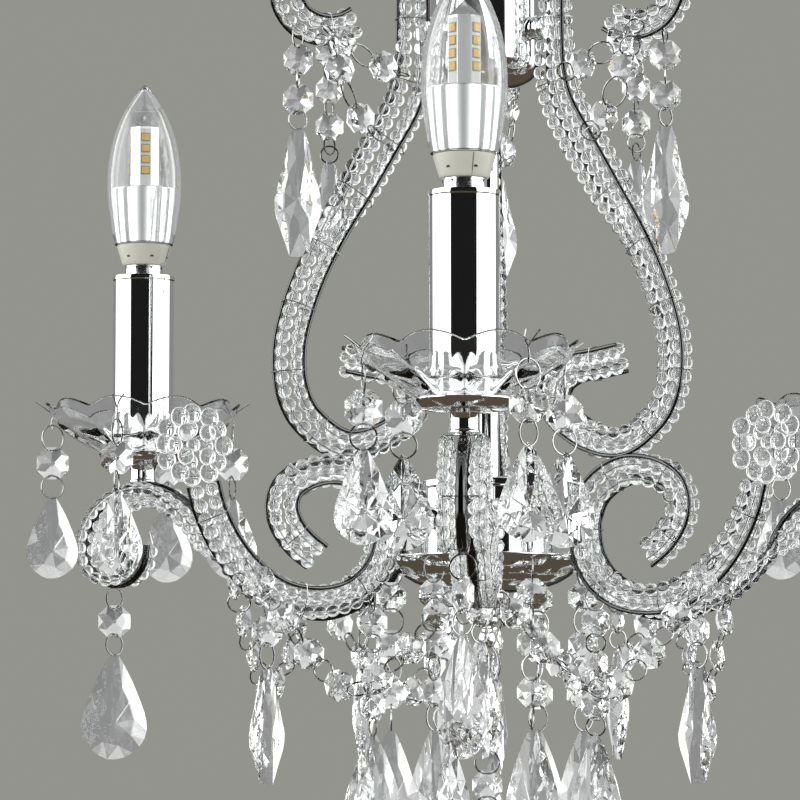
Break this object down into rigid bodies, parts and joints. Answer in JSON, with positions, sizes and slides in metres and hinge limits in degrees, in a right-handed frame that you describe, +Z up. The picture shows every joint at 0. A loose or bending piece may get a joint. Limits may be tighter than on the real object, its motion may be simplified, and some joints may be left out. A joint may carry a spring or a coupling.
{
  "type": "crystal chandelier",
  "caption": "Hanging chrome chandelier with beaded curled arms, candle lamps in glass drip cups, and strands of cut crystal drops and swags.",
  "frame": {"origin": "where a hook bears on the inside top of the hanging ring", "axes": "+Z up along the centre stem; the first candle arm points to -Y; the hanging ring lies in the XZ plane"},
  "size_m": [0.4472, 0.4181, 0.525],
  "materials": {
    "chrome": "mirror-polished chrome plate",
    "beaded_arm": "chrome rods between rows of clear round beads, tied with thin wire",
    "cut_drop": "clear faceted crystal on silver wire rings",
    "pressed_glass": "clear pressed glass with petal flutes",
    "lamp_glass": "clear thin lamp envelope",
    "lamp_aluminium": "turned polished aluminium heat sink over an ivory collar and a plated screw cap",
    "led_module": "white faceted column with yellow light chips, unlit",
    "holder_plastic": "moulded lamp holder",
    "terminal_plastic": "moulded terminal block"
  },
  "bodies": {
    "frame": {"hanging_ring": "chrome", "top_cap": "chrome", "upper_hub": "chrome", "centre_stem": "chrome", "lower_hub": "chrome", "hub_dish": "chrome", "bottom_finial": "chrome", "terminal_block": "terminal_plastic", "candle_arm_1": "beaded_arm", "drip_pan_1": "chrome", "glass_cup_1": "pressed_glass", "candle_sleeve_1": "chrome", "lamp_holder_1": "holder_plastic", "scroll_1": "beaded_arm", "rosette_1": "cut_drop", "cage_arm_1": "beaded_arm", "top_arm_1": "beaded_arm", "candle_arm_2": "beaded_arm", "drip_pan_2": "chrome", "glass_cup_2": "pressed_glass", "candle_sleeve_2": "chrome", "lamp_holder_2": "holder_plastic", "scroll_2": "beaded_arm", "rosette_2": "cut_drop", "cage_arm_2": "beaded_arm", "top_arm_2": "beaded_arm", "candle_arm_3": "beaded_arm", "drip_pan_3": "chrome", "glass_cup_3": "pressed_glass", "candle_sleeve_3": "chrome", "lamp_holder_3": "holder_plastic", "scroll_3": "beaded_arm", "rosette_3": "cut_drop", "cage_arm_3": "beaded_arm", "top_arm_3": "beaded_arm"},
    "lamp_1": {"bulb_body_1": "lamp_aluminium", "bulb_led_1": "led_module", "bulb_globe_1": "lamp_glass"},
    "lamp_2": {"bulb_body_2": "lamp_aluminium", "bulb_led_2": "led_module", "bulb_globe_2": "lamp_glass"},
    "lamp_3": {"bulb_body_3": "lamp_aluminium", "bulb_led_3": "led_module", "bulb_globe_3": "lamp_glass"},
    "arm_drop_1": {"arm_drop_1": "cut_drop"},
    "arm_drop_2": {"arm_drop_2": "cut_drop"},
    "arm_drop_3": {"arm_drop_3": "cut_drop"},
    "top_drop_1": {"top_drop_1": "cut_drop"},
    "top_drop_2": {"top_drop_2": "cut_drop"},
    "top_drop_3": {"top_drop_3": "cut_drop"},
    "scroll_strand_1": {"scroll_strand_1": "cut_drop"},
    "scroll_strand_2": {"scroll_strand_2": "cut_drop"},
    "scroll_strand_3": {"scroll_strand_3": "cut_drop"},
    "swag_right_1": {"swag_right_1": "cut_drop"},
    "swag_right_2": {"swag_right_2": "cut_drop"},
    "swag_right_3": {"swag_right_3": "cut_drop"},
    "swag_left_1": {"swag_left_1": "cut_drop"},
    "swag_left_2": {"swag_left_2": "cut_drop"},
    "swag_left_3": {"swag_left_3": "cut_drop"},
    "centre_strand": {"centre_strand": "cut_drop"}
  },
  "joints": [
    {"name": "lamp_1_unscrew", "type": "hinge", "parent": "frame", "child": "lamp_1", "pos_m": [0, -0.2028, 0], "axis": [0, 0, 1], "continuous": true},
    {"name": "lamp_2_unscrew", "type": "hinge", "parent": "frame", "child": "lamp_2", "pos_m": [0.17563, 0.1014, 0], "axis": [0, 0, 1], "continuous": true},
    {"name": "lamp_3_unscrew", "type": "hinge", "parent": "frame", "child": "lamp_3", "pos_m": [-0.17563, 0.1014, 0], "axis": [0, 0, 1], "continuous": true},
    {"name": "arm_drop_1_swing", "type": "hinge", "parent": "frame", "child": "arm_drop_1", "pos_m": [0, -0.22, -0.3595], "axis": [1, 0, 0], "range_deg": [-35, 35]},
    {"name": "arm_drop_2_swing", "type": "hinge", "parent": "frame", "child": "arm_drop_2", "pos_m": [0.19053, 0.11, -0.3595], "axis": [-0.5, 0.866, 0], "range_deg": [-35, 35]},
    {"name": "arm_drop_3_swing", "type": "hinge", "parent": "frame", "child": "arm_drop_3", "pos_m": [-0.19053, 0.11, -0.3595], "axis": [-0.5, -0.866, 0], "range_deg": [-35, 35]},
    {"name": "top_drop_1_swing", "type": "hinge", "parent": "frame", "child": "top_drop_1", "pos_m": [0.08487, -0.049, -0.10556], "axis": [0.866, -0.5, 0], "range_deg": [-25, 25]},
    {"name": "top_drop_2_swing", "type": "hinge", "parent": "frame", "child": "top_drop_2", "pos_m": [0, 0.098, -0.10556], "axis": [0, 1, 0], "range_deg": [-25, 25]},
    {"name": "top_drop_3_swing", "type": "hinge", "parent": "frame", "child": "top_drop_3", "pos_m": [-0.08487, -0.049, -0.10556], "axis": [-0.866, -0.5, 0], "range_deg": [-25, 25]},
    {"name": "scroll_strand_1_swing", "type": "hinge", "parent": "frame", "child": "scroll_strand_1", "pos_m": [0.05135, -0.02965, -0.36295], "axis": [0.5, 0.866, 0], "range_deg": [-14, 14]},
    {"name": "scroll_strand_2_swing", "type": "hinge", "parent": "frame", "child": "scroll_strand_2", "pos_m": [0, 0.0593, -0.36295], "axis": [-1, 0, 0], "range_deg": [-14, 14]},
    {"name": "scroll_strand_3_swing", "type": "hinge", "parent": "frame", "child": "scroll_strand_3", "pos_m": [-0.05135, -0.02965, -0.36295], "axis": [0.5, -0.866, 0], "range_deg": [-14, 14]},
    {"name": "swag_right_1_swing", "type": "hinge", "parent": "frame", "child": "swag_right_1", "pos_m": [0.0107, -0.09699, -0.36717], "axis": [0.9485, 0.2666, 0.1708], "range_deg": [-12, 12]},
    {"name": "swag_right_2_swing", "type": "hinge", "parent": "frame", "child": "swag_right_2", "pos_m": [0.07865, 0.05776, -0.36717], "axis": [-0.7052, 0.6881, 0.1708], "range_deg": [-12, 12]},
    {"name": "swag_right_3_swing", "type": "hinge", "parent": "frame", "child": "swag_right_3", "pos_m": [-0.08935, 0.03923, -0.36717], "axis": [-0.2433, -0.9548, 0.1708], "range_deg": [-12, 12]},
    {"name": "swag_left_1_swing", "type": "hinge", "parent": "frame", "child": "swag_left_1", "pos_m": [-0.0107, -0.09699, -0.36717], "axis": [-0.9485, 0.2666, 0.1708], "range_deg": [-12, 12]},
    {"name": "swag_left_2_swing", "type": "hinge", "parent": "frame", "child": "swag_left_2", "pos_m": [0.08935, 0.03923, -0.36717], "axis": [0.2433, -0.9548, 0.1708], "range_deg": [-12, 12]},
    {"name": "swag_left_3_swing", "type": "hinge", "parent": "frame", "child": "swag_left_3", "pos_m": [-0.07865, 0.05776, -0.36717], "axis": [0.7052, 0.6881, 0.1708], "range_deg": [-12, 12]},
    {"name": "centre_strand_swing", "type": "hinge", "parent": "frame", "child": "centre_strand", "pos_m": [0, 0, -0.3901], "axis": [0, 1, 0], "range_deg": [-14, 14]}
  ]
}
